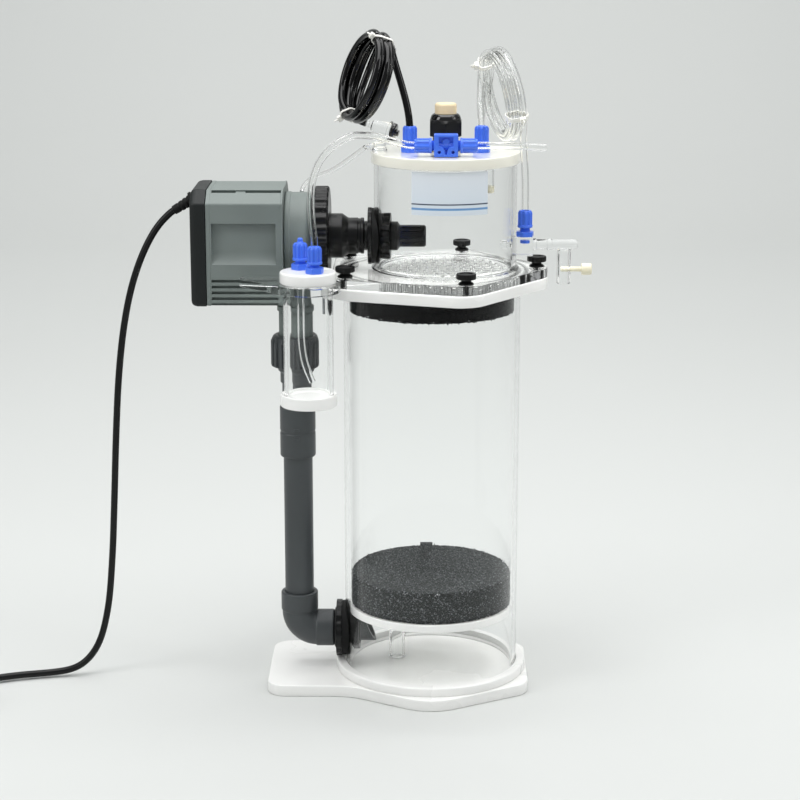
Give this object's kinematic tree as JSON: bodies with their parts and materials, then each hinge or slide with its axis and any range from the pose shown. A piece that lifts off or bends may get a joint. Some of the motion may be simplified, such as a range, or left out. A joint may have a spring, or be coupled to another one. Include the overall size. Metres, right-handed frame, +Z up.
{
  "type": "aquarium calcium reactor",
  "caption": "Clear media tube on a white base, with a smaller clear chamber, side-mounted circulation pump, bubble counter and hoses bolted on top.",
  "frame": {"origin": "centre of the reaction tube, at the underside of the base plate", "axes": "+Z up along the tube, +X away from the pump, -Y towards the front, where the bubble counter is"},
  "size_m": [0.6154, 0.2053, 0.5636],
  "materials": {
    "white_acrylic": "smooth",
    "clear_acrylic": "clear",
    "pvc_grey": "moulded, satin",
    "motor_grey": "moulded, matte",
    "charcoal": "moulded, matte",
    "black_plastic": "moulded, satin",
    "blue_plastic": "moulded, satin",
    "foam_dark": "open cell foam",
    "foam_black": "open cell foam",
    "cream_plastic": "satin",
    "nylon": "satin",
    "rubber": "matte",
    "ceramic": "polished",
    "magnet": "moulded",
    "clear_hose": "clear, flexible",
    "black_hose": "satin"
  },
  "bodies": {
    "reactor": {"base_plate": "white_acrylic", "reactor_tube": "clear_acrylic", "body_flange": "white_acrylic", "flange_o_ring": "rubber", "media_plate": "white_acrylic", "lower_sponge": "foam_dark", "upper_sponge": "foam_black", "inlet_bulkhead": "black_plastic", "inlet_nozzle": "pvc_grey", "elbow": "pvc_grey", "discharge_pipe": "pvc_grey", "union_tail": "pvc_grey", "counter_lid": "white_acrylic", "counter_body": "clear_acrylic", "counter_bracket": "clear_acrylic", "mains_lead": "black_hose", "mains_coil": "black_hose", "mains_plug": "black_plastic"},
    "upper_chamber": {"volute": "motor_grey", "motor_housing": "motor_grey", "rear_cover": "charcoal", "rotor_shaft": "ceramic", "suction_reducer": "black_plastic", "suction_bulkhead": "black_plastic", "suction_strainer": "black_plastic", "cord_relief": "rubber", "chamber_plate": "clear_acrylic", "chamber_tube": "clear_acrylic", "chamber_lid": "white_acrylic", "gland_body": "black_plastic", "valve_block": "blue_plastic", "side_manifold": "clear_acrylic", "counter_hose": "clear_hose", "pump_hose": "clear_hose", "stub_hose": "clear_hose", "black_hose": "black_hose", "black_hose_coil": "black_hose", "check_valve": "black_plastic", "clear_hose": "clear_hose", "clear_hose_coil": "clear_hose", "clear_hose_drop": "clear_hose"},
    "rotor": {"rotor": "magnet"},
    "thumb_screw_1": {"thumb_screw_1": "black_plastic"},
    "thumb_screw_2": {"thumb_screw_2": "black_plastic"},
    "thumb_screw_3": {"thumb_screw_3": "black_plastic"},
    "thumb_screw_4": {"thumb_screw_4": "black_plastic"},
    "thumb_screw_5": {"thumb_screw_5": "black_plastic"},
    "union_nut": {"union_nut": "pvc_grey"},
    "pump_inlet_nut": {"pump_inlet_nut": "black_plastic"},
    "suction_nut": {"suction_nut": "black_plastic"},
    "gland_nut": {"gland_nut": "black_plastic"},
    "gland_plug": {"gland_plug": "cream_plastic"},
    "valve_nut_left": {"valve_nut_left": "blue_plastic"},
    "valve_nut_right": {"valve_nut_right": "blue_plastic"},
    "lid_nut_left": {"lid_nut_left": "blue_plastic"},
    "lid_nut_right": {"lid_nut_right": "blue_plastic"},
    "side_nut": {"side_nut": "blue_plastic"},
    "nylon_screw": {"nylon_screw": "nylon"},
    "counter_nut_front": {"counter_nut_front": "blue_plastic"},
    "counter_nut_rear": {"counter_nut_rear": "blue_plastic"}
  },
  "joints": [
    {"name": "upper_chamber_lift", "type": "slide", "parent": "reactor", "child": "upper_chamber", "axis": [0, 0, 1], "range_m": [0, 0.06]},
    {"name": "rotor_spin", "type": "hinge", "parent": "upper_chamber", "child": "rotor", "pos_m": [-0.14, 0, 0.3915], "axis": [1, 0, 0], "continuous": true},
    {"name": "thumb_screw_1_lift", "type": "slide", "parent": "upper_chamber", "child": "thumb_screw_1", "axis": [0, 0, 1], "range_m": [0, 0.018]},
    {"name": "thumb_screw_2_lift", "type": "slide", "parent": "upper_chamber", "child": "thumb_screw_2", "axis": [0, 0, 1], "range_m": [0, 0.018]},
    {"name": "thumb_screw_3_lift", "type": "slide", "parent": "upper_chamber", "child": "thumb_screw_3", "axis": [0, 0, 1], "range_m": [0, 0.018]},
    {"name": "thumb_screw_4_lift", "type": "slide", "parent": "upper_chamber", "child": "thumb_screw_4", "axis": [0, 0, 1], "range_m": [0, 0.018]},
    {"name": "thumb_screw_5_lift", "type": "slide", "parent": "upper_chamber", "child": "thumb_screw_5", "axis": [0, 0, 1], "range_m": [0, 0.018]},
    {"name": "union_nut_turn", "type": "hinge", "parent": "upper_chamber", "child": "union_nut", "pos_m": [-0.115, 0, 0.293], "axis": [0, 0, 1], "continuous": true},
    {"name": "pump_inlet_nut_turn", "type": "hinge", "parent": "upper_chamber", "child": "pump_inlet_nut", "pos_m": [-0.092, 0, 0.3915], "axis": [1, 0, 0], "continuous": true},
    {"name": "suction_nut_turn", "type": "hinge", "parent": "upper_chamber", "child": "suction_nut", "pos_m": [-0.038, 0, 0.3915], "axis": [1, 0, 0], "continuous": true},
    {"name": "gland_nut_turn", "type": "hinge", "parent": "upper_chamber", "child": "gland_nut", "pos_m": [0.011, 0, 0.485], "axis": [0, 0, 1], "continuous": true},
    {"name": "gland_plug_pull", "type": "slide", "parent": "upper_chamber", "child": "gland_plug", "axis": [0, 0, 1], "range_m": [0, 0.025]},
    {"name": "valve_nut_left_turn", "type": "hinge", "parent": "upper_chamber", "child": "valve_nut_left", "pos_m": [-0.008, -0.041, 0.4724], "axis": [1, 0, 0], "continuous": true},
    {"name": "valve_nut_right_turn", "type": "hinge", "parent": "upper_chamber", "child": "valve_nut_right", "pos_m": [0.03, -0.041, 0.4724], "axis": [1, 0, 0], "continuous": true},
    {"name": "lid_nut_left_turn", "type": "hinge", "parent": "upper_chamber", "child": "lid_nut_left", "pos_m": [-0.0187, -0.01, 0.478], "axis": [0, 0, 1], "continuous": true},
    {"name": "lid_nut_right_turn", "type": "hinge", "parent": "upper_chamber", "child": "lid_nut_right", "pos_m": [0.0408, -0.01, 0.478], "axis": [0, 0, 1], "continuous": true},
    {"name": "side_nut_turn", "type": "hinge", "parent": "upper_chamber", "child": "side_nut", "pos_m": [0.0773, -0.018, 0.408], "axis": [0, 0, 1], "continuous": true},
    {"name": "nylon_screw_turn", "type": "hinge", "parent": "upper_chamber", "child": "nylon_screw", "pos_m": [0.12, -0.018, 0.3665], "axis": [1, 0, 0], "continuous": true},
    {"name": "counter_nut_front_turn", "type": "hinge", "parent": "reactor", "child": "counter_nut_front", "pos_m": [-0.095, -0.0835, 0.389], "axis": [0, 0, 1], "continuous": true},
    {"name": "counter_nut_rear_turn", "type": "hinge", "parent": "reactor", "child": "counter_nut_rear", "pos_m": [-0.1075, -0.065, 0.389], "axis": [0, 0, 1], "continuous": true}
  ]
}
